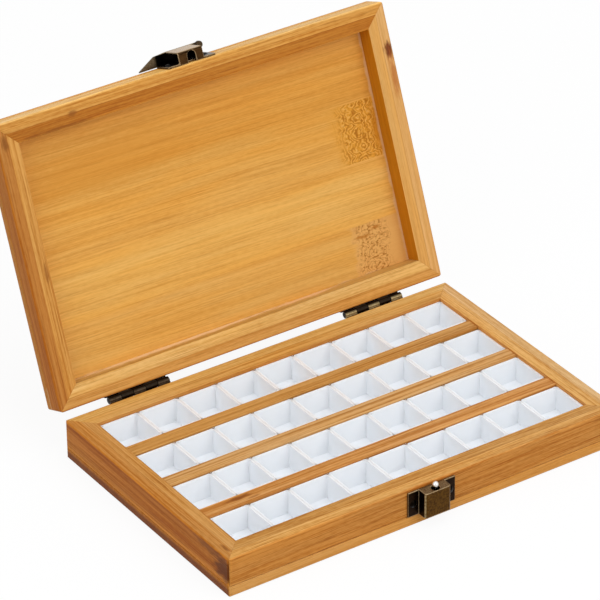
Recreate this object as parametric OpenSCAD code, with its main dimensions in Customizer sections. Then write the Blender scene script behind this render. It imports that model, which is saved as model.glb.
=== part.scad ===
// Bamboo watercolour palette box: a tray of loose plastic pans with a hinged lid.
// Millimetres. The origin is the centre of the underside of the base.
// X runs along the front, -Y points to the front and Z points up. The lid stands open.

/* [Pans] */
// Rows of pans, counted from the back
rows = 4; // [1:1:6]
// Pans in one row
columns = 9; // [6:1:12]
// Size of a pan along its row
pan_length = 19.45; // [17:0.05:25]
// Size of a pan across its row
pan_width = 20.2; // [15:0.1:30]
// Height of a pan
pan_height = 11.8; // [9:0.1:16]
// Thickness of a pan's walls
pan_wall = 0.85; // [0.6:0.05:2]
// Thickness of a pan's floor
pan_floor = 1.1; // [0.6:0.1:2]
// Radius of a pan's upright corners
pan_corner = 1.5; // [0.5:0.1:3]
// Draft of a pan's walls, in degrees
pan_draft = 1.5; // [0.5:0.1:3]
// Play between two pans of a row
pan_gap = 0.1; // [0.06:0.02:1]
// Play of a pan across its row
row_play = 0.8; // [0.5:0.1:2]
// How far a loose pan turns askew, in degrees
pan_skew = 0.06; // [0:0.02:0.1]

/* [Base] */
// Thickness of the bottom board
base_board_thickness = 5; // [3:0.5:8]
// Thickness of the frame sides, in base and lid
wall_thickness = 10; // [8:0.5:14]
// Height of the base's rim above the rims of the pans
wall_rise = 1.5; // [1.2:0.1:4]
// Width of the slats between the rows
slat_width = 7; // [4:0.5:12]
// Depth of the slats' tops below the base's rim
slat_drop = 0.7; // [0.3:0.1:1.1]
// Radius of the upright corners of the box
corner_round = 1.6; // [1:0.1:4]
// Radius of the eased edges of rims and boards
edge_ease = 0.8; // [0.4:0.1:1.4]
// Chamfer that shows as a fine groove at the glue lines
joint_ease = 0.3; // [0.2:0.1:0.6]

/* [Lid] */
// Height of the lid's frame sides
lid_rail_height = 8.1; // [7:0.1:14]
// Thickness of the lid's board
lid_board_thickness = 3.6; // [2.5:0.1:6]
// Angle at which the hinges stop the open lid
lid_open = 111.4; // [95:0.2:120]
// Gap between the rims of the closed box
rim_gap = 0.15; // [0.1:0.05:0.5]

/* [Hinges] */
// Length of a hinge
hinge_length = 30; // [22:1:34]
// Distance from the end of the box to a hinge
hinge_inset = 22.7; // [6:0.1:24]
// Outer radius of the knuckles
knuckle_radius = 1.5; // [1.3:0.1:2.2]
// Radius of the hinge pins
pin_radius = 0.75; // [0.5:0.05:0.9]
// Radial clearance of a pin in the knuckles
pin_clearance = 0.05; // [0.02:0.01:0.1]
// Gap between neighbouring knuckles
knuckle_gap = 0.2; // [0.1:0.05:0.5]
// Gap between the knuckles and the backs of the boards
knuckle_clearance = 0.4; // [0.35:0.05:0.8]
// Thickness of the leaves
leaf_thickness = 0.9; // [0.6:0.1:1]
// Margin from a leaf's edge to the outer face of the lid
leaf_margin = 1.15; // [0.5:0.05:2]
// Reach of the stop lips from the pin
stop_reach = 3.6; // [3:0.1:4.5]
// Gap at the stop with the lid open
stop_gap = 0.05; // [0.02:0.01:0.1]

/* [Latch] */
// Width of keeper and clasp over their flanges
latch_width = 23.6; // [23:0.1:28]
// Width of the keeper's raised box
keeper_box_width = 12.9; // [11:0.1:13.5]
// Width of the clasp's raised cover
clasp_box_width = 12.3; // [11:0.1:13]
// Sideways set of the keeper and the stud from the middle
latch_set = 0.6; // [0:0.1:0.8]
// How far keeper and clasp stand out from the wood
latch_depth = 5.7; // [5.2:0.1:7]
// Thickness of the latch's sheet
latch_sheet = 0.9; // [0.6:0.1:1.1]
// Outer radius of the sheet's bends
latch_bend = 1.2; // [1.2:0.1:1.8]
// Distance of the keeper below the base's rim
keeper_drop = 1.1; // [0.6:0.1:2]
// Distance of the keeper above the bottom board
keeper_margin = 0.2; // [0:0.1:1]
// Margin of the clasp to both faces of the lid
clasp_margin = 0.1; // [0:0.1:0.5]
// Radius of the stud's ball head
ball_radius = 1.4; // [1.2:0.05:1.6]
// Height of the ball's centre above the keeper
ball_rise = 1.5; // [1.2:0.1:1.8]
// Radius of the stud's neck
neck_radius = 0.8; // [0.5:0.1:1]
// Distance from the keeper's front to the middle of the stud
stud_inset = 2.3; // [2.2:0.1:2.5]
// Gap round the ball in the keeper's hole
keeper_hole_gap = 0.45; // [0.2:0.05:0.5]
// Gap between the stud's foot and the inside of the keeper
stud_foot_gap = 0.3; // [0.1:0.1:0.5]
// Gap round the ball in the clasp's arch
arch_gap = 0.3; // [0.2:0.05:0.4]
// Thickness of the slide's sheet
slide_sheet = 0.8; // [0.6:0.1:0.9]
// Gap between the slide and the clasp
slide_gap = 0.2; // [0.15:0.05:0.4]
// Travel of the slide
slide_travel = 2; // [1:0.1:2.2]
// Length of the slide's foot in the clasp
foot_length = 8; // [6:0.5:8.5]
// Width of the slide's foot
foot_width = 10; // [7:0.5:10]
// Length of the slide's high shoulder beside the clasp
shoulder_length = 5.9; // [4:0.1:7]
// Drop of the shoulder towards the tongue
shoulder_drop = 0.5; // [0.3:0.1:1.5]
// Length of the slide's sloping thumb tongue
tongue_length = 8.2; // [7:0.1:11]
// Gap between the tongue's tip and the wood
tongue_gap = 0.35; // [0.3:0.05:0.6]
// Height of the arm to the slide's rolled end
arm_height = 1.5; // [1:0.1:2]
// Radius of the slide's rolled end
roll_radius = 1.6; // [1.3:0.1:2]
// Length of the slide's rolled end
roll_length = 1.8; // [1.2:0.1:3]
// Distance from the clasp's cover to the middle of the rolled end
roll_offset = 4.4; // [4:0.1:6]
// Drop of the rolled end's middle below the clasp's cover
roll_drop = 1.2; // [0.8:0.1:1.5]

/* [Nails] */
// Radius of the nails' shanks
nail_radius = 0.6; // [0.4:0.05:0.7]
// Length of a nail under its head
nail_length = 6.5; // [4:0.5:7]
// Radius of the hinge nails' domed heads
hinge_nail_head = 1.4; // [1.1:0.1:1.6]
// Radius of the latch nails' domed heads
latch_nail_head = 1.8; // [1.4:0.1:2]
// Height of the nails' domed heads
nail_head_height = 0.6; // [0.4:0.1:0.8]
// Clearance of a shank in wood and sheet
nail_clearance = 0.03; // [0.02:0.01:0.06]
// Distance from a hinge's middle to its nails
hinge_nail_spread = 9; // [6:0.5:9.5]

/* [Hidden] */
$fn = 48;
over = 1;
row_letters = "abcdef";
knuckles = 5;
base_knuckles = [0, 2, 4];
lid_knuckles = [1, 3];

pan_pitch = pan_length + pan_gap;
row_channel = pan_width + row_play;
row_pitch = row_channel + slat_width;
tray_length = columns * pan_pitch;
tray_width = rows * row_channel + (rows - 1) * slat_width;
box_length = tray_length + 2 * wall_thickness;
box_width = tray_width + 2 * wall_thickness;
wall_height = pan_height + wall_rise;
base_height = base_board_thickness + wall_height;

lid_z = base_height + rim_gap;
lid_board_z = lid_z + lid_rail_height;
lid_top = lid_board_z + lid_board_thickness;

pin_offset = knuckle_radius + knuckle_clearance;
pin_y = box_width / 2 + pin_offset;
pin_z = base_height + rim_gap / 2;
hinge_x = box_length / 2 - hinge_inset - hinge_length / 2;
leaf_reach = lid_top - pin_z - leaf_margin;
leaf_nail_reach = (pin_offset + lid_rail_height) / 2;
knuckle_step = hinge_length / knuckles;

keeper_z = base_board_thickness + keeper_margin;
keeper_height = wall_height - keeper_margin - keeper_drop;
keeper_top = keeper_z + keeper_height;
clasp_z = lid_z + clasp_margin;
clasp_height = lid_top - lid_z - 2 * clasp_margin;
stud_out = latch_depth - stud_inset;
arch_x = latch_set / 2;
arch_radius = ball_radius + arch_gap + latch_set / 2;
clasp_half = clasp_box_width / 2;

slide_end = clasp_z + clasp_height;
plate_z = slide_end - slide_sheet;
cover_length = clasp_height - slide_sheet - slide_gap;
clasp_nail_z = clasp_z + cover_length / 2;
slide_low = latch_sheet + slide_gap;
tongue_tip = clasp_half + shoulder_length + tongue_length;
roll_x = clasp_half + roll_offset;
catch_x = latch_set + ball_radius + arch_gap;

function pan_id(r, c) = str("pan_", row_letters[r], c + 1);
function pan_x(c) = (c - (columns - 1) / 2) * pan_pitch;
function pan_y(r) = tray_width / 2 - row_channel / 2 - r * row_pitch;
// Loose pans lie a little askew, each one differently
function pan_turn(r, c) = pan_skew * sin(137 * c + 71 * r + 20);
function pan_shift(r, c) = 0.3 * row_play * sin(97 * c + 160 * r + 45);

// Places

// Turns what is drawn for the closed lid to its open place
module opened() {
    translate([0, pin_y, pin_z])
        rotate([-lid_open, 0, 0])
            translate([0, -pin_y, -pin_z])
                children();
}

// Puts what is drawn with Y pointing out of the wood on the front of the box
module on_front() {
    translate([0, -box_width / 2, 0])
        mirror([0, 1, 0])
            children();
}

module at_keeper() {
    on_front()
        translate([latch_set, 0, 0])
            children();
}

module at_hinges() {
    for (side = [-1, 1])
        translate([side * hinge_x, pin_y, pin_z])
            children();
}

// Woodwork

module rounded_plan(length, width, radius) {
    square([length - 2 * radius, width], center = true);
    square([length, width - 2 * radius], center = true);
    for (sx = [-1, 1], sy = [-1, 1])
        translate([sx * (length / 2 - radius), sy * (width / 2 - radius)])
            circle(r = radius);
}

// Section of a frame side: outer face at 0, glued edge at 0 and eased rim on top
module side_section(height) {
    difference() {
        square([wall_thickness, height]);
        polygon([[0, 0], [joint_ease, 0], [0, joint_ease]]);
        difference() {
            translate([-over, height - edge_ease])
                square(edge_ease + over);
            translate([edge_ease, height - edge_ease])
                circle(r = edge_ease);
        }
    }
}

// One mitred side of a four-piece frame, with its outer face at -across / 2
module frame_side(run, across, height) {
    intersection() {
        translate([0, -across / 2, 0])
            rotate([90, 0, 90])
                linear_extrude(height = run, center = true)
                    side_section(height);
        linear_extrude(height = height)
            intersection() {
                rounded_plan(run, across, corner_round);
                polygon([
                    [-run / 2, -across / 2],
                    [run / 2, -across / 2],
                    [run / 2 - wall_thickness, wall_thickness - across / 2],
                    [wall_thickness - run / 2, wall_thickness - across / 2]
                ]);
            }
    }
}

module long_side(turn, height) {
    rotate([0, 0, turn])
        frame_side(box_length, box_width, height);
}

module short_side(turn, height) {
    rotate([0, 0, turn])
        frame_side(box_width, box_length, height);
}

module base_frame_place() {
    translate([0, 0, base_board_thickness])
        children();
}

// The lid's frame sides hang from the board with their rims down
module lid_frame_place() {
    opened()
        translate([0, 0, lid_board_z])
            mirror([0, 0, 1])
                children();
}

// A board as large as the box, glued at z = 0, with its far edge eased
module full_board(thickness) {
    intersection() {
        linear_extrude(height = thickness)
            rounded_plan(box_length, box_width, corner_round);
        rotate([90, 0, 90])
            linear_extrude(height = box_length, center = true)
                board_section(box_width, thickness);
        rotate([90, 0, 0])
            linear_extrude(height = box_width, center = true)
                board_section(box_length, thickness);
    }
}

module board_section(width, thickness) {
    difference() {
        translate([-width / 2, 0])
            square([width, thickness]);
        for (side = [0, 1])
            mirror([side, 0]) {
                polygon([
                    [width / 2, 0],
                    [width / 2 - joint_ease, 0],
                    [width / 2, joint_ease]
                ]);
                difference() {
                    translate([width / 2 - edge_ease, thickness - edge_ease])
                        square(edge_ease + over);
                    translate([width / 2 - edge_ease, thickness - edge_ease])
                        circle(r = edge_ease);
                }
            }
    }
}

module bottom_board() {
    color("#D09A55")
        translate([0, 0, base_board_thickness])
            mirror([0, 0, 1])
                full_board(base_board_thickness);
}

module front_wall() {
    color("#C58A45")
        difference() {
            base_frame_place()
                long_side(0, wall_height);
            at_keeper()
                keeper_nail_places()
                    nail_hole();
        }
}

module back_wall() {
    color("#C58A45")
        difference() {
            base_frame_place()
                long_side(180, wall_height);
            at_hinges()
                leaf_nail_places()
                    nail_hole();
        }
}

module left_wall() {
    color("#BE8240")
        base_frame_place()
            short_side(270, wall_height);
}

module right_wall() {
    color("#BE8240")
        base_frame_place()
            short_side(90, wall_height);
}

// A slat stands on the bottom board between the left and right walls
module slat(s) {
    slat_height = wall_height - slat_drop;
    color("#B87A38")
        translate([0, tray_width / 2 + slat_width / 2 - s * row_pitch, base_board_thickness])
            rotate([90, 0, 90])
                linear_extrude(height = tray_length, center = true)
                    difference() {
                        translate([-slat_width / 2, 0])
                            square([slat_width, slat_height]);
                        for (side = [0, 1])
                            mirror([side, 0])
                                translate([slat_width / 2, slat_height])
                                    polygon([[0, 0], [-joint_ease, 0], [0, -joint_ease]]);
                    }
}

module lid_board() {
    color("#D6A055")
        opened()
            translate([0, 0, lid_board_z])
                full_board(lid_board_thickness);
}

module lid_front_rail() {
    color("#D09850")
        difference() {
            lid_frame_place()
                long_side(0, lid_rail_height);
            opened()
                on_front()
                    clasp_nail_places()
                        nail_hole();
        }
}

module lid_back_rail() {
    color("#D09850")
        difference() {
            lid_frame_place()
                long_side(180, lid_rail_height);
            opened()
                at_hinges()
                    mirror([0, 0, 1])
                        leaf_nail_places()
                            nail_hole();
        }
}

module lid_left_rail() {
    color("#CA9048")
        lid_frame_place()
            short_side(270, lid_rail_height);
}

module lid_right_rail() {
    color("#CA9048")
        lid_frame_place()
            short_side(90, lid_rail_height);
}

// Hinges, drawn round the pin: X along the pin, the wood on the -Y side, the leaf hanging down

module knuckle(length) {
    rotate([90, 0, 90])
        linear_extrude(height = length) {
            circle(r = knuckle_radius);
            translate([-pin_offset, -pin_offset - leaf_thickness])
                square([leaf_thickness, pin_offset + leaf_thickness]);
        }
}

module knuckle_place(k) {
    translate([(k - knuckles / 2) * knuckle_step + knuckle_gap / 2, 0, 0])
        children();
}

module pin_bore() {
    rotate([0, 90, 0])
        cylinder(r = pin_radius + pin_clearance, h = hinge_length + 2 * over, center = true);
}

module leaf(own_knuckles) {
    difference() {
        union() {
            translate([-hinge_length / 2, -pin_offset, -leaf_reach])
                cube([hinge_length, leaf_thickness, leaf_reach - pin_offset]);
            for (k = own_knuckles)
                knuckle_place(k)
                    knuckle(knuckle_step - knuckle_gap);
        }
        pin_bore();
        leaf_nail_places()
            nail_hole();
    }
}

// A lip on a lid knuckle that meets the base leaf when the lid is fully open
module stop_lip() {
    translate([0, leaf_thickness + stop_gap - pin_offset, -stop_reach])
        cube([knuckle_step - knuckle_gap, leaf_thickness, stop_reach - pin_radius - pin_clearance - 0.2]);
}

module base_hinge_leaves() {
    color("#6B5433")
        at_hinges()
            leaf(base_knuckles);
}

module lid_hinge_leaves() {
    color("#6B5433")
        opened()
            at_hinges() {
                mirror([0, 0, 1])
                    leaf(lid_knuckles);
                for (k = lid_knuckles)
                    knuckle_place(k)
                        rotate([lid_open, 0, 0])
                            stop_lip();
            }
}

// Pins cut flush with the end knuckles
module hinge_pins() {
    color("#8A7048")
        at_hinges()
            rotate([0, 90, 0])
                cylinder(r = pin_radius, h = hinge_length, center = true);
}

// Nails, drawn with the head's seat at the origin and the shank along +Z

module nail(head) {
    cap_radius = (head * head + nail_head_height * nail_head_height) / (2 * nail_head_height);
    intersection() {
        translate([0, 0, cap_radius - nail_head_height])
            sphere(r = cap_radius);
        translate([0, 0, -nail_head_height])
            cylinder(r = head + over, h = nail_head_height);
    }
    cylinder(r = nail_radius, h = nail_length - nail_radius * 2);
    translate([0, 0, nail_length - nail_radius * 2])
        cylinder(r1 = nail_radius, r2 = nail_radius / 4, h = nail_radius * 2);
}

module nail_hole() {
    translate([0, 0, -over])
        cylinder(r = nail_radius + nail_clearance, h = nail_length + over + nail_clearance);
}

// On a leaf, seen from the pin: the seat is the leaf's outer face and the shank runs to -Y
module leaf_nail_places() {
    for (side = [-1, 1])
        translate([side * hinge_nail_spread, leaf_thickness - pin_offset, -leaf_nail_reach])
            rotate([90, 0, 0])
                children();
}

// On the front, drawn with Y out of the wood
module keeper_nail_places() {
    for (side = [-1, 1])
        translate([side * (latch_width + keeper_box_width) / 4, latch_sheet, keeper_z + keeper_height / 2])
            rotate([90, 0, 0])
                children();
}

module clasp_nail_places() {
    for (side = [-1, 1])
        translate([side * (latch_width + clasp_box_width) / 4, latch_sheet, clasp_nail_z])
            rotate([90, 0, 0])
                children();
}

module base_hinge_nails() {
    color("#7A6038")
        at_hinges()
            leaf_nail_places()
                nail(hinge_nail_head);
}

module lid_hinge_nails() {
    color("#7A6038")
        opened()
            at_hinges()
                mirror([0, 0, 1])
                    leaf_nail_places()
                        nail(hinge_nail_head);
}

module keeper_nails() {
    color("#7A6038")
        at_keeper()
            keeper_nail_places()
                nail(latch_nail_head);
}

module clasp_nails() {
    color("#7A6038")
        opened()
            on_front()
                clasp_nail_places()
                    nail(latch_nail_head);
}

// Latch

// A bar with its two outer corners bent round
module bent_outline(width, depth, radius) {
    translate([-width / 2, 0])
        square([width, depth - radius]);
    translate([radius - width / 2, 0])
        square([width - 2 * radius, depth]);
    for (side = [-1, 1])
        translate([side * (width / 2 - radius), depth - radius])
            circle(r = radius);
}

module hat_section() {
    difference() {
        union() {
            translate([-latch_width / 2, 0])
                square([latch_width, latch_sheet]);
            bent_outline(keeper_box_width, latch_depth, latch_bend);
        }
        translate([0, -over])
            bent_outline(keeper_box_width - 2 * latch_sheet, latch_depth - latch_sheet + over, latch_bend / 4);
    }
}

module keeper() {
    color("#6E5836")
        at_keeper()
            difference() {
                union() {
                    translate([0, 0, keeper_z])
                        linear_extrude(height = keeper_height)
                            hat_section();
                    translate([0, 0, keeper_top - latch_sheet])
                        linear_extrude(height = latch_sheet)
                            bent_outline(keeper_box_width, latch_depth, latch_bend);
                }
                translate([0, stud_out, keeper_top - latch_sheet - over])
                    cylinder(r = ball_radius + keeper_hole_gap, h = latch_sheet + 2 * over);
                keeper_nail_places()
                    nail_hole();
            }
}

// The stud stands on a foot plate that lies up against the inside of the keeper's top
module stud() {
    foot_x = keeper_box_width - 2 * (latch_sheet + stud_foot_gap);
    foot_y = latch_depth - latch_sheet - 2 * stud_foot_gap;
    color("#D8D8DC")
        at_keeper()
            translate([0, 0, keeper_top]) {
                translate([-foot_x / 2, stud_foot_gap, -2 * latch_sheet])
                    cube([foot_x, foot_y, latch_sheet]);
                translate([0, stud_out, -latch_sheet])
                    cylinder(r = neck_radius, h = latch_sheet + ball_rise);
                translate([0, stud_out, ball_rise])
                    sphere(r = ball_radius);
            }
}

// Side view of the clasp's cover: plate on the wood, end wall at the rim, cover over both
module cover_section() {
    difference() {
        union() {
            square([latch_depth - latch_bend, cover_length]);
            translate([0, latch_bend])
                square([latch_depth, cover_length - latch_bend]);
            translate([latch_depth - latch_bend, latch_bend])
                circle(r = latch_bend);
        }
        translate([latch_sheet, latch_sheet])
            square([latch_depth - 2 * latch_sheet, clasp_height]);
    }
}

// The arch in the end wall that takes in the ball of the stud
module arch_hole() {
    translate([arch_x, 0, -over])
        linear_extrude(height = latch_sheet + 2 * over) {
            translate([0, stud_out - arch_x])
                circle(r = arch_radius);
            translate([-arch_radius, -over])
                square([2 * arch_radius, stud_out - arch_x + over]);
        }
}

module clasp() {
    color("#6E5836")
        opened()
            on_front()
                difference() {
                    translate([0, 0, clasp_z])
                        difference() {
                            union() {
                                translate([-latch_width / 2, 0, 0])
                                    cube([latch_width, latch_sheet, cover_length]);
                                rotate([90, 0, 90])
                                    linear_extrude(height = clasp_box_width, center = true)
                                        cover_section();
                            }
                            arch_hole();
                        }
                    clasp_nail_places()
                        nail_hole();
                }
}

// Front view of the slide's plate: tongue that slopes to the wood on the left, arm on the right
module plate_outline() {
    polygon([
        [roll_x, latch_depth],
        [-clasp_half, latch_depth],
        [-clasp_half - shoulder_length, latch_depth - shoulder_drop],
        [-tongue_tip, tongue_gap + slide_sheet / 2],
        [-tongue_tip, tongue_gap],
        [foot_width / 2, tongue_gap],
        [foot_width / 2, latch_depth - arm_height],
        [roll_x, latch_depth - arm_height]
    ]);
}

// The slide's catch: a lip that stands on the foot and runs beside the ball
module catch_lip() {
    lip_z = clasp_z + latch_sheet + 2 * slide_gap;
    lip_height = latch_depth - latch_sheet - slide_gap - slide_low;
    translate([catch_x, slide_low, lip_z])
        cube([slide_sheet, lip_height, slide_end - foot_length / 2 - lip_z]);
}

// A plate across the end of the clasp, bent to a foot inside it, with a rolled end to push on
module clasp_slide() {
    color("#7C643C")
        opened()
            on_front() {
                translate([0, 0, plate_z])
                    linear_extrude(height = slide_sheet)
                        plate_outline();
                translate([roll_x, latch_depth - roll_drop, slide_end - roll_length])
                    cylinder(r = roll_radius, h = roll_length);
                translate([-foot_width / 2, slide_low, slide_end - foot_length])
                    cube([foot_width, slide_sheet, foot_length]);
                catch_lip();
            }
}

// Pans

// A block that narrows downwards by the draft, with round upright corners
module drafted_block(length, width, height, corner) {
    difference() {
        linear_extrude(height = height)
            rounded_plan(length, width, corner);
        for (side = [0, 180]) {
            rotate([0, 0, side])
                translate([length / 2, 0, height])
                    rotate([0, pan_draft, 0])
                        translate([0, -width, -2 * height])
                            cube([length, 2 * width, 4 * height]);
            rotate([0, 0, side])
                translate([0, width / 2, height])
                    rotate([-pan_draft, 0, 0])
                        translate([-length, 0, -2 * height])
                            cube([2 * length, width, 4 * height]);
        }
    }
}

module pan() {
    difference() {
        drafted_block(pan_length, pan_width, pan_height, pan_corner);
        translate([0, 0, pan_floor])
            drafted_block(
                pan_length - 2 * pan_wall,
                pan_width - 2 * pan_wall,
                pan_height - pan_floor,
                pan_corner * 0.6
            );
    }
}

module pan_at(r, c) {
    color("#F2F3F6")
        translate([pan_x(c), pan_y(r) + pan_shift(r, c), base_board_thickness])
            rotate([0, 0, pan_turn(r, c)])
                pan();
}

bottom_board();
front_wall();
back_wall();
left_wall();
right_wall();
for (s = [1 : rows - 1])
    slat(s);
lid_board();
lid_front_rail();
lid_back_rail();
lid_left_rail();
lid_right_rail();
base_hinge_leaves();
lid_hinge_leaves();
hinge_pins();
keeper();
stud();
clasp();
clasp_slide();
base_hinge_nails();
lid_hinge_nails();
keeper_nails();
clasp_nails();
for (r = [0 : rows - 1], c = [0 : columns - 1])
    pan_at(r, c);
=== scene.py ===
import math

import bpy
from mathutils import Matrix, Vector

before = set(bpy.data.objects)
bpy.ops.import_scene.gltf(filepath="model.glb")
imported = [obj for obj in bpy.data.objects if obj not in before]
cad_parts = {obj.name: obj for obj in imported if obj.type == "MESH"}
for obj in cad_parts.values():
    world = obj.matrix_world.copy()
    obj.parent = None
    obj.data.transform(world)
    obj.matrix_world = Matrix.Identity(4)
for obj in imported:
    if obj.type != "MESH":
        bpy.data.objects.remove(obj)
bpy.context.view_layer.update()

# Sizes of the box in millimetres, with the lid shut and the bottom at height 0. The hinge pin is turned to
# metres.
MM = 0.001
HALF_LENGTH = 97.975
HALF_WIDTH = 62.5
WALL = 10.0
PLY_WIDTH = 5.0
BASE_HEIGHT = 18.3
LID_PANEL = 26.55
KEEPER_TOP = 17.2
CLASP_END = 18.55
HINGE_PIN = Vector((0.0, 64.4, 18.375)) * MM
LID_OPEN = math.radians(111.4)

# Moves a point of the open lid to its place in the closed box
CLOSING = {"Rotation": (LID_OPEN, 0.0, 0.0),
           "Location": HINGE_PIN - Matrix.Rotation(LID_OPEN, 3, "X") @ HINGE_PIN}
# Turns the place so that the grain of a piece runs from front to back
CROSSWISE = math.radians(-90)


def linear(code, gain=(1.0, 1.0, 1.0)):
    """Linear colour of an sRGB hex code, with each channel times its gain."""
    channels = [int(code[i:i + 2], 16) / 255 for i in (1, 3, 5)]
    channels = [c / 12.92 if c <= 0.04045 else ((c + 0.055) / 1.055) ** 2.4 for c in channels]
    return tuple(c * k for c, k in zip(channels, gain)) + (1.0,)


def start(name):
    """A new material and its empty node tree."""
    material = bpy.data.materials.new(name)
    material.use_nodes = True
    material.node_tree.nodes.clear()
    return material, material.node_tree


def add(tree, kind, inputs=None, stops=None, **settings):
    """Adds one node with its settings, and fills or links its inputs."""
    node = tree.nodes.new("ShaderNode" + kind)
    for name, value in settings.items():
        setattr(node, name, value)
    for key, value in (inputs or {}).items():
        if isinstance(value, bpy.types.Node):
            value = value.outputs[0]
        if isinstance(value, bpy.types.NodeSocket):
            tree.links.new(value, node.inputs[key])
        else:
            node.inputs[key].default_value = value
    if stops:
        elements = node.color_ramp.elements
        while len(elements) < len(stops):
            elements.new(0.5)
        while len(elements) > len(stops):
            elements.remove(elements[-1])
        for element, (place, colour) in zip(elements, stops):
            element.position = place
            element.color = colour
    return node


def dress(name, *materials):
    """Puts the materials into the slots of a piece."""
    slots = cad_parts[name].data.materials
    slots.clear()
    for material in materials:
        slots.append(material)


# Corners closer than the gap, in millimetres, are one. Faces within the flat angle are one flat, and edges
# over the sharp angle are rounded.
SEAM_GAP = 0.001
FLAT_ANGLE = math.radians(0.5)
SHARP_ANGLE = math.radians(35)


def soften(name, width, worn=False):
    """Closes the seams of the mesh and rounds its sharp edges by width. Worn edges show the second
    material."""
    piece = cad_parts[name]
    seams = piece.modifiers.new("seams", "WELD")
    seams.merge_threshold = SEAM_GAP * MM
    flats = piece.modifiers.new("flats", "DECIMATE")
    flats.decimate_type = "DISSOLVE"
    flats.angle_limit = FLAT_ANGLE
    edges = piece.modifiers.new("edges", "BEVEL")
    edges.width = width * MM
    edges.segments = 2
    edges.limit_method = "ANGLE"
    edges.angle_limit = SHARP_ANGLE
    edges.use_clamp_overlap = False
    if worn:
        edges.material = 1
    faces = piece.modifiers.new("faces", "WEIGHTED_NORMAL")
    faces.weight = 80


# Bamboo: culms split into strips, pressed, glued, planed and lacquered. The eye sees long fine fibres in
# honey tones, dark dashes of the vessels, riper clouds, glued plies of different tone, and curls and specks
# where a ring of the culm was planed through. All sizes are in millimetres.

# Length, width, detail and weight of the marks that the fibres leave. Real fibres are about 0.2 mm wide:
# the finest marks are drawn at about 0.5 mm so that they show.
FIBRE_LAYERS = (
    (3.0, 0.6, 1.0, 0.30),
    (38.0, 0.5, 1.0, 0.48),
    (110.0, 1.2, 2.0, 0.50),
    (200.0, 4.5, 1.0, 0.24),
    (260.0, 13.0, 1.0, 0.18),
)
# A layer between these widths counts as broad streaks
STREAK_WIDTHS = (1.0, 10.0)
# Shares of the wood's red, green and blue, from the darkest fibre to the palest
FIBRE_GAIN = [
    (0.26, (0.78, 0.62, 0.40, 1.0)),
    (0.44, (0.93, 0.89, 0.80, 1.0)),
    (0.55, (1.04, 1.06, 1.09, 1.0)),
    (0.74, (1.15, 1.25, 1.46, 1.0)),
]
# The fibres' slow sway from side to side
SWAY_LENGTH = 110.0
# Vessels: length and width of the dashes, their strength and their share of the colour
VESSEL_DASH = (20.0, 0.45)
VESSEL_STRENGTH = 0.5
VESSEL_GAIN = (0.70, 0.60, 0.46, 1.0)
# Clouds where the culm was riper, from orange to straw: length and width, and share of the colour
RIPE_CLOUD = (70.0, 7.0)
RIPE_GAIN = [(0.34, (1.01, 0.97, 0.86, 1.0)), (0.66, (0.99, 1.03, 1.14, 1.0))]
# The inner ply comes from another strip, this far off in the pattern
INNER_PLY_SHIFT = (173.0, 31.0, 17.0)
# The glued joint between two plies, as a share of the inner ply's colour
PLY_JOINT = (0.78, 0.68, 0.56)

# A ring of the culm: how far its border is torn along and across the grain, how large the tears are, how
# softly it ends along the strip and at the strip's seams, and how well its ground covers the strip
RING_TORN = (14.0, 0.8)
TEAR_SIZE = 4.0
RING_END = 3.0
RING_SEAM = 0.5
RING_COVER = 0.8
# The eyes in a ring, one above the other, and the fibres curled round them. One length lies beyond the ring.
EYE_SPACING = 6.5
BEYOND_RING = 99.0
EYE_FLATNESS = 1.3
CURL_SPACING = 1.9
CURL_SIZE = 4.0
CURL_SWING = 4.8
CURL_PATCH = 2.6
SPECK = (1.5, 1.0)
CURL_COLOURS = {"gleam": "#EDBE6E", "curl": "#A0590A", "speck": "#9A5C14"}

# Stains: length and width of the tears in their outline, and how deep these go, as a share of the reach
STAIN_TEAR = (4.0, 1.0, 1.0)
STAIN_RAGGED = 1.1

# Dried glue in the corner of the panel: size of its patches, spread, strength and colour
GLUE_PATCH = 7.0
GLUE_SPREAD = 3.2
GLUE_STRENGTH = 0.7
GLUE_COLOUR = "#E2B888"

# Satin lacquer over the fibres: roughness on pale and dark ones, and the height that they still show
LACQUER_ROUGHNESS = (0.42, 0.54)
FIBRE_RELIEF = 0.3


def ply_tones(tree, depth, tones):
    """Colours through a wall glued from two plies: outer face, outer ply, inner ply and inner face, where
    the faces' colours hold painted shade as well as the wood's tone.
    """
    outer_face, outer_ply, inner_ply, inner_face = (linear(code) for code in tones)
    joint = linear(tones[2], PLY_JOINT)
    share = add(tree, "Math", {0: depth, 1: WALL}, operation="DIVIDE")
    return add(tree, "ValToRGB", {"Fac": share}, stops=[(place / WALL, tone) for place, tone in (
        (0.2, outer_face), (0.9, outer_ply), (PLY_WIDTH - 0.25, outer_ply), (PLY_WIDTH - 0.05, joint),
        (PLY_WIDTH + 0.15, inner_ply), (WALL - 0.18, inner_ply), (WALL - 0.04, inner_face))])


def strip_tones(tree, parts, strips):
    """Colours across a board glued up from strips, each with its place from front to back."""
    share = add(tree, "MapRange", {"Value": parts["Y"], "From Min": -HALF_WIDTH, "From Max": HALF_WIDTH})
    return add(tree, "ValToRGB", {"Fac": share}, stops=[
        ((y + HALF_WIDTH) / (2 * HALF_WIDTH), linear(code)) for y, code in strips])


def end_grain_and_shade(tree, ground, parts, ends):
    """Darker end grain on the short sides of a board, in colours by height that may also hold painted shade
    near the floor.
    """
    reach = add(tree, "Math", {0: parts["X"]}, operation="ABSOLUTE")
    end = add(tree, "MapRange", {"Value": reach, "From Min": HALF_LENGTH - 0.5,
                                 "From Max": HALF_LENGTH - 0.1})
    share = add(tree, "MapRange", {"Value": parts["Z"], "From Min": 0.0, "From Max": BASE_HEIGHT})
    cut = add(tree, "ValToRGB", {"Fac": share}, stops=[(z / BASE_HEIGHT, linear(code)) for z, code in ends])
    return add(tree, "MixRGB", {"Fac": end, "Color1": ground, "Color2": cut})


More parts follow.
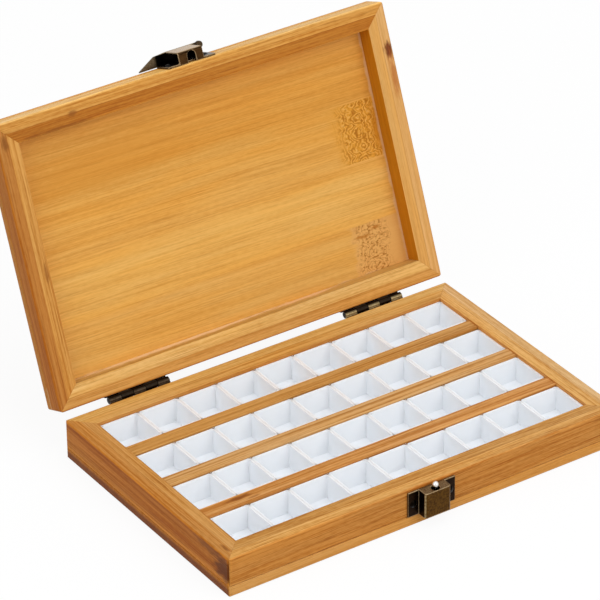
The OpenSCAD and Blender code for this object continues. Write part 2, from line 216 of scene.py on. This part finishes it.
def culm_ring(tree, colour, spot, along, across, fade, ground, eyes, reach, curls, specks):
    """A ring of the culm, planed through inside one strip: the fibres curl round a column of eyes and break
    up into specks, on a ground of their own. along and across are the borders, fade is the soft start
    along the strip, eyes the place of the column and reach how far its marks go to each side."""
    ragged = add(tree, "TexNoise", {"Vector": spot, "Scale": 1 / TEAR_SIZE, "Detail": 3.0})
    loose = add(tree, "VectorMath", {0: ragged.outputs["Color"], 1: (*RING_TORN, 0.0), 2: spot},
                operation="MULTIPLY_ADD")
    parts = add(tree, "SeparateXYZ", {0: loose}).outputs
    # On average the tears move a place by half of their depth
    drift_x, drift_y = (depth / 2 for depth in RING_TORN)
    first = along[0] + drift_x
    mask = add(tree, "MapRange", {"Value": parts["X"], "From Min": first, "From Max": first + fade},
               interpolation_type="SMOOTHSTEP")
    for axis, border, inward in (("X", along[1] + drift_x, -RING_END),
                                 ("Y", across[0] + drift_y, RING_SEAM),
                                 ("Y", across[1] + drift_y, -RING_SEAM)):
        side = add(tree, "MapRange", {"Value": parts[axis], "From Min": border,
                                      "From Max": border + inward})
        mask = add(tree, "Math", {0: mask, 1: side}, operation="MULTIPLY")
    cover = add(tree, "Math", {0: mask, 1: RING_COVER}, operation="MULTIPLY")
    colour = add(tree, "MixRGB", {"Fac": cover, "Color1": colour, "Color2": linear(ground)})

    aside = add(tree, "Math", {0: parts["X"], 1: eyes + drift_x}, operation="SUBTRACT")
    aside = add(tree, "Math", {0: aside}, operation="ABSOLUTE")
    beside = add(tree, "MapRange", {"Value": aside, "From Min": reach + RING_END,
                                    "From Max": reach - RING_END})
    mask = add(tree, "Math", {0: mask, 1: beside}, operation="MULTIPLY")

    # Distance from the nearest eye: the pattern repeats across the strip, and not along it
    half = (BEYOND_RING, EYE_SPACING / 2, BEYOND_RING)
    eye = add(tree, "VectorMath", {0: spot, 1: (eyes, across[1], 0.0)}, operation="SUBTRACT")
    eye = add(tree, "VectorMath", {0: eye, 1: half, 2: tuple(-size for size in half)}, operation="WRAP")
    eye = add(tree, "VectorMath", {0: eye, 1: (1.0, EYE_FLATNESS, 0.0)}, operation="MULTIPLY")
    eye = add(tree, "VectorMath", {0: eye}, operation="LENGTH").outputs["Value"]
    wave = add(tree, "TexNoise", {"Vector": spot, "Scale": 1 / CURL_SIZE, "Detail": 2.2, "Roughness": 0.5})
    wave = add(tree, "Math", {0: wave, 1: CURL_SWING}, operation="MULTIPLY")
    wave = add(tree, "Math", {0: eye, 1: 1 / CURL_SPACING, 2: wave}, operation="MULTIPLY_ADD")
    wave = add(tree, "Math", {0: wave, 1: 0.5}, operation="PINGPONG")
    curl = add(tree, "MapRange", {"Value": wave, "From Min": 0.30, "From Max": 0.06})
    gleam = add(tree, "MapRange", {"Value": wave, "From Min": 0.34, "From Max": 0.48})
    patchy = add(tree, "TexNoise", {"Vector": spot, "Scale": 1 / CURL_PATCH, "Detail": 2.0})
    patchy = add(tree, "MapRange", {"Value": patchy, "From Min": 0.30, "From Max": 0.54})
    curl = add(tree, "Math", {0: curl, 1: patchy}, operation="MULTIPLY")
    speck = add(tree, "Mapping", {"Vector": spot, "Scale": (1 / SPECK[0], 1 / SPECK[1], 0.0)})
    speck = add(tree, "TexNoise", {"Vector": speck, "Scale": 1.0, "Detail": 1.0})
    speck = add(tree, "MapRange", {"Value": speck, "From Min": 0.54, "From Max": 0.66})
    for kind, shape, strength in (("gleam", gleam, 0.6 * curls), ("curl", curl, curls),
                                  ("speck", speck, specks)):
        where = add(tree, "Math", {0: mask, 1: shape}, operation="MULTIPLY")
        where = add(tree, "Math", {0: where, 1: strength}, operation="MULTIPLY")
        colour = add(tree, "MixRGB", {"Fac": where, "Color1": colour, "Color2": linear(CURL_COLOURS[kind])})
    return colour


def stain(tree, colour, spot, centre, reach, code, strength):
    """A stain, knot or smear, with an outline that is torn along the grain."""
    away = add(tree, "Mapping", {"Vector": spot, "Location": centre, "Scale": reach}, vector_type="TEXTURE")
    away = add(tree, "VectorMath", {0: away}, operation="LENGTH").outputs["Value"]
    torn = add(tree, "Mapping", {"Vector": spot, "Scale": tuple(1 / size for size in STAIN_TEAR)})
    torn = add(tree, "TexNoise", {"Vector": torn, "Scale": 1.0, "Detail": 3.0})
    away = add(tree, "Math", {0: torn, 1: STAIN_RAGGED, 2: away}, operation="MULTIPLY_ADD")
    where = add(tree, "MapRange", {"Value": away, "From Min": 1.45, "From Max": 0.85, "To Max": strength},
                interpolation_type="SMOOTHSTEP")
    return add(tree, "MixRGB", {"Fac": where, "Color1": colour, "Color2": linear(code)})


def dried_glue(tree, colour, spot, parts, corner):
    """A broken smear of glue on the panel's inside, along the right and back rails that meet at corner."""
    gaps = [add(tree, "Math", {0: place, 1: parts[axis]}, operation="SUBTRACT")
            for axis, place in zip("XY", corner)]
    near = add(tree, "Math", {0: gaps[0], 1: gaps[1]}, operation="MINIMUM")
    broken = add(tree, "TexNoise", {"Vector": spot, "Scale": 1 / GLUE_PATCH, "Detail": 4.0})
    near = add(tree, "Math", {0: broken, 1: -GLUE_SPREAD, 2: near}, operation="MULTIPLY_ADD")
    where = add(tree, "MapRange", {"Value": near, "From Min": -0.2, "From Max": -1.1,
                                   "To Max": GLUE_STRENGTH})
    inside = add(tree, "Math", {0: parts["Z"], 1: LID_PANEL + 0.3}, operation="LESS_THAN")
    where = add(tree, "Math", {0: where, 1: inside}, operation="MULTIPLY")
    return add(tree, "MixRGB", {"Fac": where, "Color1": colour, "Color2": linear(GLUE_COLOUR)})


def bamboo(name, tones, seed, lid=False, turn=0.0, half=None, ends=(), strips=(), contrast=1.0, broad=1.0,
           sway=1.2, lean=(0.0, 0.0, 0.0), rings=(), marks=(), bands=(), glue=None):
    """Lacquered bamboo. tones holds one colour, or the four of a wall glued from two plies, and then half
    is the distance from the middle of the box to the wall's outer face. turn and lean give the direction
    of the grain, contrast its strength, broad that of its wider streaks and sway how far it wanders.
    bands are shares of the colour at heights over the floor: streaks that run along a face, and painted
    highlights along its edges. ends, strips, rings, marks and glue are what end_grain_and_shade,
    strip_tones, culm_ring, stain and dried_glue take."""
    material, tree = start(name)
    place = add(tree, "TexCoord").outputs["Object"]
    if lid:
        place = add(tree, "Mapping", {"Vector": place, **CLOSING})
    spot = add(tree, "Mapping", {"Vector": place, "Rotation": (0.0, 0.0, turn), "Scale": (1 / MM,) * 3})
    parts = add(tree, "SeparateXYZ", {0: spot}).outputs
    own = spot
    ground = linear(tones[0])
    if half:
        depth = add(tree, "Math", {0: parts["Y"]}, operation="ABSOLUTE")
        depth = add(tree, "Math", {0: half, 1: depth}, operation="SUBTRACT")
        inner = add(tree, "Math", {0: depth, 1: PLY_WIDTH}, operation="GREATER_THAN")
        own = add(tree, "VectorMath", {0: inner, 1: INNER_PLY_SHIFT, 2: spot}, operation="MULTIPLY_ADD")
        ground = ply_tones(tree, depth, tones)
    if strips:
        ground = strip_tones(tree, parts, strips)
    if ends:
        ground = end_grain_and_shade(tree, ground, parts, ends)

    bend = add(tree, "TexNoise", {"Vector": own, "Scale": 1 / SWAY_LENGTH, "Detail": 1.0})
    fibre = add(tree, "VectorMath", {0: bend.outputs["Color"], 1: (0.0, sway, sway), 2: own},
                operation="MULTIPLY_ADD")
    fibre = add(tree, "Mapping", {"Vector": fibre, "Rotation": lean})
    narrow, wide = STREAK_WIDTHS
    weights = [contrast * weight * (broad if narrow < width < wide else 1.0)
               for _, width, _, weight in FIBRE_LAYERS]
    tone = 0.5 - sum(weights) / 2
    for (length, width, detail, _), weight in zip(FIBRE_LAYERS, weights):
        drawn = add(tree, "Mapping", {"Vector": fibre, "Scale": (1 / length, 1 / width, 1 / width),
                                      "Location": (seed, seed, 0.0)})
        layer = add(tree, "TexNoise", {"Vector": drawn, "Scale": 1.0, "Detail": detail})
        tone = add(tree, "Math", {0: layer, 1: weight, 2: tone}, operation="MULTIPLY_ADD")
    gain = add(tree, "ValToRGB", {"Fac": tone}, stops=FIBRE_GAIN)
    colour = add(tree, "MixRGB", {"Fac": 1.0, "Color1": ground, "Color2": gain}, blend_type="MULTIPLY")

    length, width = RIPE_CLOUD
    cloud = add(tree, "Mapping", {"Vector": fibre, "Scale": (1 / length, 1 / width, 1 / width),
                                  "Location": (0.0, seed, seed)})
    cloud = add(tree, "TexNoise", {"Vector": cloud, "Scale": 1.0, "Detail": 2.0})
    cloud = add(tree, "ValToRGB", {"Fac": cloud}, stops=RIPE_GAIN)
    colour = add(tree, "MixRGB", {"Fac": 1.0, "Color1": colour, "Color2": cloud}, blend_type="MULTIPLY")
    length, width = VESSEL_DASH
    dash = add(tree, "Mapping", {"Vector": fibre, "Scale": (1 / length, 1 / width, 1 / width)})
    dash = add(tree, "TexNoise", {"Vector": dash, "Scale": 1.0, "Detail": 1.0})
    dash = add(tree, "MapRange", {"Value": dash, "From Min": 0.58, "From Max": 0.68,
                                  "To Max": VESSEL_STRENGTH * contrast})
    colour = add(tree, "MixRGB", {"Fac": dash, "Color1": colour, "Color2": VESSEL_GAIN},
                 blend_type="MULTIPLY")

    if bands:
        share = add(tree, "MapRange", {"Value": parts["Z"], "From Min": 0.0, "From Max": BASE_HEIGHT})
        band = add(tree, "ValToRGB", {"Fac": share}, stops=[
            (z / BASE_HEIGHT, (*channels, 1.0)) for z, channels in bands])
        colour = add(tree, "MixRGB", {"Fac": 1.0, "Color1": colour, "Color2": band}, blend_type="MULTIPLY")
    for ring in rings:
        colour = culm_ring(tree, colour, spot, **ring)
    for mark in marks:
        colour = stain(tree, colour, spot, *mark)
    if glue:
        colour = dried_glue(tree, colour, spot, parts, glue)

    pale, dark = LACQUER_ROUGHNESS
    rough = add(tree, "MapRange", {"Value": tone, "From Min": 0.3, "From Max": 0.7,
                                   "To Min": dark, "To Max": pale})
    relief = add(tree, "Bump", {"Height": tone, "Strength": 0.12, "Distance": FIBRE_RELIEF * MM})
    shader = add(tree, "BsdfPrincipled", {"Base Color": colour, "Roughness": rough, "IOR": 1.5,
                                          "Specular IOR Level": 0.12, "Normal": relief})
    add(tree, "OutputMaterial", {"Surface": shader})
    return material


# Look of each bamboo piece. A mark is given by its centre, reach, colour and strength. Places are those in
# the closed box, and for crosswise pieces they are turned with the grain.
# The tones of the walls' outer and inner faces hold painted shade as well as the wood's colour: darker on
# faces turned from the lamps, most on the left sides and the lid's right rail's inner face.
WOOD = {
    "bottom_board": dict(
        tones=("#DC9B4E",), seed=0.3, contrast=0.9,
        # Its ends darken towards the floor: end grain, with painted shade at the foot of the box.
        ends=[(0, "#84440D"), (3, "#84450E"), (4, "#B1691C"), (4.9, "#BE7422")]),
    "front_wall": dict(
        tones=("#CB853A", "#D69F58", "#C38C48", "#C8843F"), seed=1.1, half=HALF_WIDTH,
        lean=(0.012, 0.012, 0.012), contrast=1.5),
    "back_wall": dict(
        tones=("#CD8C43", "#DAA95F", "#D09A51", "#CA8840"), seed=2.7, half=HALF_WIDTH,
        contrast=1.15, broad=1.4),
    "left_wall": dict(
        # Its outer face tone is darker than its plies, partly as painted shade. The bands give a pale band
        # just over the bottom board, dark streaks at 9 and 16.8 mm and a painted highlight along the top
        # outer edge.
        tones=("#C07422", "#C28440", "#C68D4A", "#BB7632"), seed=3.9, turn=CROSSWISE, half=HALF_LENGTH,
        contrast=1.2, broad=1.8,
        bands=[(5.6, (1.35, 1.46, 1.68)), (7.2, (1.0, 1.0, 0.95)), (9.0, (0.90, 0.82, 0.62)),
               (10.8, (1.03, 1.04, 1.0)), (16.8, (0.88, 0.78, 0.58)), (17.8, (1.2, 1.25, 1.3)),
               (18.2, (1.0, 1.0, 1.0))],
        marks=[((-61.0, 98.0, 11.5), (14.0, 4.0, 8.5), "#5A2600", 0.85),
               ((-49.0, 98.0, 16.0), (16.0, 4.0, 3.0), "#6E3404", 0.55),
               ((-54.5, 94.5, 18.3), (4.5, 1.3, 1.2), "#7A3E0A", 0.7),
               ((-1.0, 90.5, 18.3), (10.0, 0.7, 1.0), "#9A5A20", 0.6)]),
    "right_wall": dict(
        tones=("#D59B55", "#DAAC70", "#DDA860", "#D89A53"), seed=5.2, turn=CROSSWISE, half=HALF_LENGTH,
        contrast=1.2),
    "slat_1": dict(tones=("#C18945",), seed=7.7, contrast=1.2, broad=2.4),
    "slat_2": dict(tones=("#CA975A",), seed=9.4, contrast=1.2, broad=2.4),
    "slat_3": dict(
        tones=("#CC9151",), seed=11.1, contrast=1.2, broad=2.4,
        marks=[((-70.0, -27.0, 17.6), (9.0, 1.6, 1.2), "#7E4012", 0.8),
               ((-64.0, -29.5, 17.6), (5.0, 0.8, 1.2), "#8A4A16", 0.6)]),
    "lid_board": dict(
        tones=("#E2A44C",), seed=14.3, lid=True, contrast=0.62, sway=1.0, lean=(0.0, 0.0, -0.02),
        ends=[(0.0, "#C37D31")],
        # Tones of the strips; the one by the front rail, at -50 mm, is painted lighter to offset the rail's
        # shadow.
        strips=[(-50, "#E09E46"), (-38, "#DD9B43"), (-25, "#DA983F"), (-22, "#DD9E47"), (3, "#E0A24C"),
                (12, "#E3AA55"), (30, "#E3A852"), (31, "#DEA24F"), (50, "#DCA350")],
        rings=[dict(along=(60, 96), across=(-22.5, 4), fade=14, ground="#DB9428", eyes=77, reach=10,
                    curls=0.75, specks=0.40),
               dict(along=(60, 97), across=(30.5, 57), fade=4, ground="#DDA45C", eyes=72, reach=7,
                    curls=0.40, specks=0.80)],
        marks=[((-48.0, -32.0, 26.5), (62.0, 20.0, 3.0), "#D08A30", 0.40),
               ((87.0, -8.0, 26.5), (4.5, 13.0, 3.0), "#C87A12", 0.60),
               ((67.5, 36.0, 26.5), (6.0, 1.1, 2.0), "#AE6614", 0.7),
               ((75.0, 33.6, 26.5), (4.5, 1.0, 2.0), "#AA6010", 0.75)],
        glue=(HALF_LENGTH - WALL, HALF_WIDTH - WALL + 1.3)),
    "lid_front_rail": dict(
        tones=("#EEBA6B", "#D49545", "#B87021", "#DC9228"), seed=12.4, lid=True, half=HALF_WIDTH,
        contrast=1.3,
        marks=[((-61.0, -57.5, 18.4), (4.0, 2.2, 1.5), "#8A4E18", 0.7),
               ((-70.0, -53.0, 19.0), (26.0, 1.4, 3.0), "#7E4614", 0.6)]),
    "lid_back_rail": dict(
        tones=("#C27B36", "#D1954A", "#E4B166", "#C79850"), seed=13.6, lid=True, half=HALF_WIDTH,
        contrast=1.0, broad=1.2,
        # Pale smear along the inner face by the panel: dried glue, with a painted highlight on the face
        # turned to the lamps.
        marks=[((-33.0, 52.5, 25.4), (80.0, 1.0, 4.6), "#F4CE9C", 1.0),
               ((32.0, 52.5, 25.4), (22.0, 1.0, 4.6), "#F1C490", 0.9)]),
    "lid_left_rail": dict(
        tones=("#BB6D1B", "#B77633", "#CF9043", "#CC9250"), seed=14.9, lid=True, turn=CROSSWISE,
        half=HALF_LENGTH, contrast=1.15, broad=1.3,
        marks=[((4.0, 89.5, 18.4), (6.0, 1.4, 1.5), "#8E5018", 0.65),
               ((-54.0, 94.5, 18.4), (5.0, 2.4, 1.5), "#7E4614", 0.7)]),
    "lid_right_rail": dict(
        # Its inner face tone, #C47D14, is painted shade on the face turned from the lamps.
        tones=("#D69954", "#E0A965", "#DCA257", "#C47D14"), seed=16.3, lid=True, turn=CROSSWISE,
        half=HALF_LENGTH, contrast=0.5, broad=1.5,
        marks=[((-41.0, -95.8, 18.4), (5.5, 3.2, 3.0), "#6A2808", 0.95),
               ((-30.0, -96.0, 18.4), (15.0, 2.2, 3.0), "#B46428", 0.7)]),
}
BAMBOO_EDGE = 0.12


def dress_wood():
    for name, look in WOOD.items():
        dress(name, bamboo("lacquered_bamboo_" + name, **look))
        soften(name, BAMBOO_EDGE)


# Metal: how far the fittings' tones reach out from the front's wood, the size of the plating's mottle, that
# of its grit, drawn coarser than it is so that it shows, and that of the haze on nickel
FITTING_HEIGHT = 8.0
MOTTLE = 0.9
GRIT = 0.25
GRIT_RELIEF = 0.05
HAZE = 1.2


def antique_bronze(name, tones, roughness, faces=(), lid=False, pits="#CFC6B8"):
    """Bronze plating on pressed steel, blackened and rubbed back, with a fine mottle: near-black low down
    and brown on the raised faces, where the near-black of the flanges, side walls and insides is painted
    shade. tones gives the colour at heights over the front's wood and faces the colour of single faces, each
    from one place to another along an axis of the closed box. pits is the tint of the dark spots."""
    material, tree = start(name)
    place = add(tree, "TexCoord").outputs["Object"]
    if lid:
        place = add(tree, "Mapping", {"Vector": place, **CLOSING})
    spot = add(tree, "Mapping", {"Vector": place, "Scale": (1 / MM,) * 3})
    parts = add(tree, "SeparateXYZ", {0: spot}).outputs
    height = add(tree, "MapRange", {"Value": parts["Y"], "From Min": -HALF_WIDTH,
                                    "From Max": -HALF_WIDTH - FITTING_HEIGHT})
    colour = add(tree, "ValToRGB", {"Fac": height}, stops=[
        (h / FITTING_HEIGHT, linear(code)) for h, code in tones])
    for axis, edge, far, code in faces:
        where = add(tree, "MapRange", {"Value": parts[axis], "From Min": edge, "From Max": far})
        colour = add(tree, "MixRGB", {"Fac": where, "Color1": colour, "Color2": linear(code)})
    mottle = add(tree, "TexNoise", {"Vector": spot, "Scale": 1 / MOTTLE, "Detail": 3.0, "Roughness": 0.6})
    tint = add(tree, "ValToRGB", {"Fac": mottle}, stops=[(0.32, linear(pits)), (0.66, linear("#FFFFFF"))])
    colour = add(tree, "MixRGB", {"Fac": 1.0, "Color1": colour, "Color2": tint}, blend_type="MULTIPLY")
    rough = add(tree, "MapRange", {"Value": mottle, "From Min": 0.3, "From Max": 0.7,
                                   "To Min": roughness + 0.06, "To Max": roughness - 0.04})
    grit = add(tree, "TexNoise", {"Vector": spot, "Scale": 1 / GRIT, "Detail": 2.0})
    relief = add(tree, "Bump", {"Height": grit, "Strength": 0.12, "Distance": GRIT_RELIEF * MM})
    shader = add(tree, "BsdfPrincipled", {"Base Color": colour, "Metallic": 1.0, "Roughness": rough,
                                          "Normal": relief})
    add(tree, "OutputMaterial", {"Surface": shader})
    return material


def nickel(name, rim):
    """Bright nickel plating, a little hazed by handling. Below the height rim, inside the keeper, it is
    painted near-black as shade."""
    material, tree = start(name)
    place = add(tree, "TexCoord").outputs["Object"]
    spot = add(tree, "Mapping", {"Vector": place, "Scale": (1 / MM,) * 3})
    haze = add(tree, "TexNoise", {"Vector": spot, "Scale": 1 / HAZE, "Detail": 3.0})
    colour = add(tree, "MixRGB", {"Fac": haze, "Color1": linear("#CFCBC8"), "Color2": linear("#EEEBE8")})
    height = add(tree, "SeparateXYZ", {0: spot}).outputs["Z"]
    # Painted shade: near-black below the rim, inside the keeper.
    out_of_shade = add(tree, "MapRange", {"Value": height, "From Min": rim, "From Max": rim + 0.4})
    colour = add(tree, "MixRGB", {"Fac": out_of_shade, "Color1": linear("#0A0806"), "Color2": colour})
    rough = add(tree, "MapRange", {"Value": haze, "From Min": 0.3, "From Max": 0.7,
                                   "To Min": 0.24, "To Max": 0.12})
    shader = add(tree, "BsdfPrincipled", {"Base Color": colour, "Metallic": 1.0, "Roughness": rough})
    add(tree, "OutputMaterial", {"Surface": shader})
    return material


def dress_metal():
    worn = antique_bronze("bronze_rubbed_edges", [(0.0, "#978162")], 0.32)
    # Keeper: the near-black below 4.6 mm, on the flanges and side walls, is painted shade cast by the box.
    pressed = antique_bronze(
        "antique_bronze_keeper",
        [(1.0, "#28180A"), (4.6, "#120706"), (4.9, "#A18D67"), (5.3, "#A18D67"), (5.6, "#604115")], 0.34,
        faces=[("Z", KEEPER_TOP - 0.5, KEEPER_TOP - 0.2, "#7D623F")], pits="#A89A86")
    # Clasp: the near-black below 4.6 mm, in its open sides, is painted shade; the pale cover at 5.6 mm is
    # partly a painted highlight, partly rubbed bronze.
    housing = antique_bronze(
        "antique_bronze_clasp",
        [(1.0, "#251B13"), (4.6, "#0A0704"), (4.7, "#927D5D"), (5.3, "#927D5D"), (5.6, "#BC9F78")], 0.30,
        faces=[("Z", CLASP_END + 0.7, CLASP_END + 0.3, "#3B2713")], lid=True, pits="#E6E0D8")
    # Slide: near-black inside the clasp as painted shade, with a painted highlight on its top edge from 5.6
    # mm.
    strip = antique_bronze(
        "antique_bronze_slide", [(0.0, "#0B0806"), (5.2, "#0B0806"), (5.6, "#9E8B6E")], 0.32,
        faces=[("X", -11.0, -12.0, "#584A38"), ("X", 7.5, 8.5, "#45392B")], lid=True)
    # Base leaf: tan bronze; the darker left hinge, the dark part above 16.3 mm and the dark far half are
    # painted shade and painted reflections of the dark lid.
    leaf = antique_bronze(
        "antique_bronze_base_leaf", [(0.0, "#8B7957")], 0.32,
        faces=[("X", 5.0, -5.0, "#40352A"), ("Z", 16.8, 16.3, "#271F18"), ("Y", 63.2, 63.9, "#1C140F")])
    # Lid leaves: a near-black copy of the base leaf's bronze, as painted shade and dark reflection.
    shut_leaf = antique_bronze("antique_bronze_lid_leaf", [(0.0, "#271F18")], 0.34)
    dome = antique_bronze("antique_bronze_nails", [(0.0, "#100B07")], 0.34)
    # Each piece with its material and the rounding of its edges
    for name, material, edge in (("keeper", pressed, 0.3), ("clasp", housing, 0.3)):
        dress(name, material, worn)
        soften(name, edge, worn=True)
    for name, material, edge in (("clasp_slide", strip, 0.25), ("base_hinge_leaves", leaf, 0.12),
                                 ("lid_hinge_leaves", shut_leaf, 0.12), ("hinge_pins", leaf, 0.1),
                                 ("base_hinge_nails", dome, 0.1), ("lid_hinge_nails", dome, 0.1),
                                 ("keeper_nails", dome, 0.1), ("clasp_nails", dome, 0.1)):
        dress(name, material)
        soften(name, edge)
    dress("stud", nickel("nickel_plated_steel", KEEPER_TOP - 0.3))


# Plastic: size of the ripples from moulding, and of the scuffs, drawn coarser than they are so that they
# show, with their share of the relief, the rounding of the edges and how far light bleeds into the walls
FLOW_RIPPLE = 11.0
SCUFF = (0.6, 0.6, 1.8)
SCUFF_SHARE = 0.12
PAN_RELIEF = 0.2
PAN_EDGE = 0.12
LIGHT_BLEED = 2.0


def white_polystyrene():
    """Injection-moulded polystyrene: cool white, light that bleeds through the thin walls, soft gloss,
    faint flow ripples and fine scuffs."""
    material, tree = start("moulded_white_polystyrene")
    place = add(tree, "TexCoord").outputs["Object"]
    spot = add(tree, "Mapping", {"Vector": place, "Scale": (1 / MM,) * 3})
    flow = add(tree, "TexNoise", {"Vector": spot, "Scale": 1 / FLOW_RIPPLE, "Detail": 2.0})
    scuff = add(tree, "Mapping", {"Vector": spot, "Scale": tuple(1 / size for size in SCUFF)})
    scuff = add(tree, "TexNoise", {"Vector": scuff, "Scale": 1.0, "Detail": 2.0})
    colour = add(tree, "MixRGB", {"Fac": flow, "Color1": linear("#F5F9FE"), "Color2": linear("#FAFCFF")})
    rough = add(tree, "MapRange", {"Value": scuff, "From Min": 0.3, "From Max": 0.7,
                                   "To Min": 0.28, "To Max": 0.42})
    height = add(tree, "Math", {0: scuff, 1: SCUFF_SHARE, 2: flow}, operation="MULTIPLY_ADD")
    relief = add(tree, "Bump", {"Height": height, "Strength": 0.06, "Distance": PAN_RELIEF * MM})
    shader = add(tree, "BsdfPrincipled", {"Base Color": colour, "Roughness": rough, "IOR": 1.59,
                                          "Subsurface Weight": 0.35, "Subsurface Radius": (1.0, 1.0, 1.0),
                                          "Subsurface Scale": LIGHT_BLEED * MM, "Normal": relief})
    add(tree, "OutputMaterial", {"Surface": shader})
    return material


def dress_pans():
    plastic = white_polystyrene()
    for row in "abcd":
        for place in range(1, 10):
            name = "pan_%s%d" % (row, place)
            dress(name, plastic)
            soften(name, PAN_EDGE)


# Studio, in metres
FLOOR_HALF = 4.0
FLOOR_DROP = 0.0001
AIM = Vector((0.0, 0.02, 0.05))
DAYLIGHT = (0.96, 0.985, 1.0)
WHITE = (1.0, 1.0, 1.0, 1.0)


def white_paper():
    """Plain white to the eye and in reflections, with a faint shadow; it throws back only a part of its
    light."""
    material, tree = start("white_paper")
    paper = add(tree, "BsdfDiffuse", {"Color": linear("#BCBCBC")})
    shade = add(tree, "BsdfDiffuse", {"Color": linear("#FFFFFF")})
    glow = add(tree, "Emission", {"Color": WHITE, "Strength": 1.0})
    seen = add(tree, "MixShader", {"Fac": 0.09, 1: glow, 2: shade})
    path = add(tree, "LightPath").outputs
    direct = add(tree, "Math", {0: path["Is Camera Ray"], 1: path["Is Glossy Ray"]}, operation="MAXIMUM")
    direct = add(tree, "Math", {0: direct, 1: path["Is Transmission Ray"]}, operation="MAXIMUM")
    both = add(tree, "MixShader", {"Fac": direct, 1: paper, 2: seen})
    add(tree, "OutputMaterial", {"Surface": both})
    return material


def studio_floor():
    mesh = bpy.data.meshes.new("floor")
    corners = [(-1, -1), (1, -1), (1, 1), (-1, 1)]
    mesh.from_pydata([(x * FLOOR_HALF, y * FLOOR_HALF, 0) for x, y in corners], [], [(0, 1, 2, 3)])
    floor = bpy.data.objects.new("floor", mesh)
    floor.location.z = -FLOOR_DROP
    bpy.context.collection.objects.link(floor)
    mesh.materials.append(white_paper())


def studio_world():
    """A white room that lights the box more softly than it looks."""
    world = bpy.data.worlds.new("studio")
    bpy.context.scene.world = world
    world.use_nodes = True
    tree = world.node_tree
    tree.nodes.clear()
    path = add(tree, "LightPath").outputs
    seen = add(tree, "Math", {0: path["Is Camera Ray"], 1: path["Is Glossy Ray"]}, operation="MAXIMUM")
    seen = add(tree, "Math", {0: seen, 1: path["Is Transmission Ray"]}, operation="MAXIMUM")
    room = add(tree, "Background", {"Color": WHITE, "Strength": 0.60})
    white = add(tree, "Background", {"Color": WHITE, "Strength": 1.0})
    both = add(tree, "MixShader", {"Fac": seen, 1: room, 2: white})
    add(tree, "OutputWorld", {"Surface": both})


def soft_box(name, place, size, power):
    """A square lamp of daylight colour, turned to the box."""
    lamp = bpy.data.lights.new(name, "AREA")
    lamp.shape = "SQUARE"
    lamp.size = size
    lamp.energy = power
    lamp.color = DAYLIGHT
    piece = bpy.data.objects.new(name, lamp)
    piece.location = place
    piece.rotation_euler = (AIM - Vector(place)).to_track_quat("-Z", "Y").to_euler()
    bpy.context.collection.objects.link(piece)


def studio_lights():
    soft_box("key", place=(0.45, -1.45, 1.05), size=1.2, power=10.0)
    soft_box("top", place=(0.1, -0.25, 1.8), size=1.2, power=7.0)
    soft_box("side", place=(-1.35, -0.55, 1.0), size=1.0, power=5.0)


def photo_camera():
    """The photograph's view, fitted to the edges of the box: a long lens from the front left, looking down
    by about 31 degrees."""
    data = bpy.data.cameras.new("camera")
    data.sensor_width = 36.0
    data.lens = 254.98
    camera = bpy.data.objects.new("camera", data)
    camera.location = (-0.84486, -1.23438, 0.98164)
    camera.rotation_euler = tuple(math.radians(angle) for angle in (58.7546, 0.5527, -34.0644))
    bpy.context.collection.objects.link(camera)
    bpy.context.scene.camera = camera


dress_wood()
dress_metal()
dress_pans()
studio_floor()
studio_world()
studio_lights()
photo_camera()
bpy.context.scene.view_settings.view_transform = "Standard"
